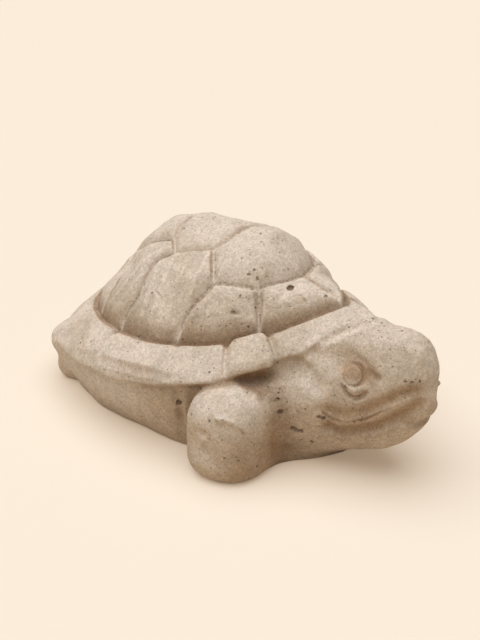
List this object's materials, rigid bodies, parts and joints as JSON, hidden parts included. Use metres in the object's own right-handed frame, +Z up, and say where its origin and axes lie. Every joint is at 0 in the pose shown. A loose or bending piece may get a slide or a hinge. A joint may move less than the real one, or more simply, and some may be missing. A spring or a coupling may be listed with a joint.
{
  "type": "turtle figurine",
  "caption": "Turtle garden figurine cast in concrete: domed shell of raised scutes over a flared rim, raised head, stubby legs and a flat underside to stand on.",
  "frame": {"origin": "centre of the flat underside, below the middle of the shell", "axes": "+Z up, the head looks along -Y, +X is the turtle's left"},
  "size_m": [0.16, 0.2735, 0.1116],
  "materials": {
    "concrete": "matt, weathered cast concrete"
  },
  "bodies": {
    "root": {"body": "concrete", "vertebral_scute_1": "concrete", "vertebral_scute_2": "concrete", "vertebral_scute_3": "concrete", "vertebral_scute_4": "concrete", "costal_scute_left_1": "concrete", "costal_scute_left_2": "concrete", "costal_scute_left_3": "concrete", "costal_scute_left_4": "concrete", "costal_scute_right_1": "concrete", "costal_scute_right_2": "concrete", "costal_scute_right_3": "concrete", "costal_scute_right_4": "concrete", "marginal_scute_left_1": "concrete", "marginal_scute_left_2": "concrete", "marginal_scute_left_3": "concrete", "marginal_scute_left_4": "concrete", "marginal_scute_left_5": "concrete", "marginal_scute_left_6": "concrete", "marginal_scute_right_1": "concrete", "marginal_scute_right_2": "concrete", "marginal_scute_right_3": "concrete", "marginal_scute_right_4": "concrete", "marginal_scute_right_5": "concrete", "marginal_scute_right_6": "concrete", "head": "concrete", "lower_jaw": "concrete", "neck": "concrete", "eye_left": "concrete", "eye_right": "concrete", "foreleg_left": "concrete", "foreleg_right": "concrete", "hind_leg_left": "concrete", "hind_leg_right": "concrete", "tail": "concrete"}
  },
  "joints": []
}
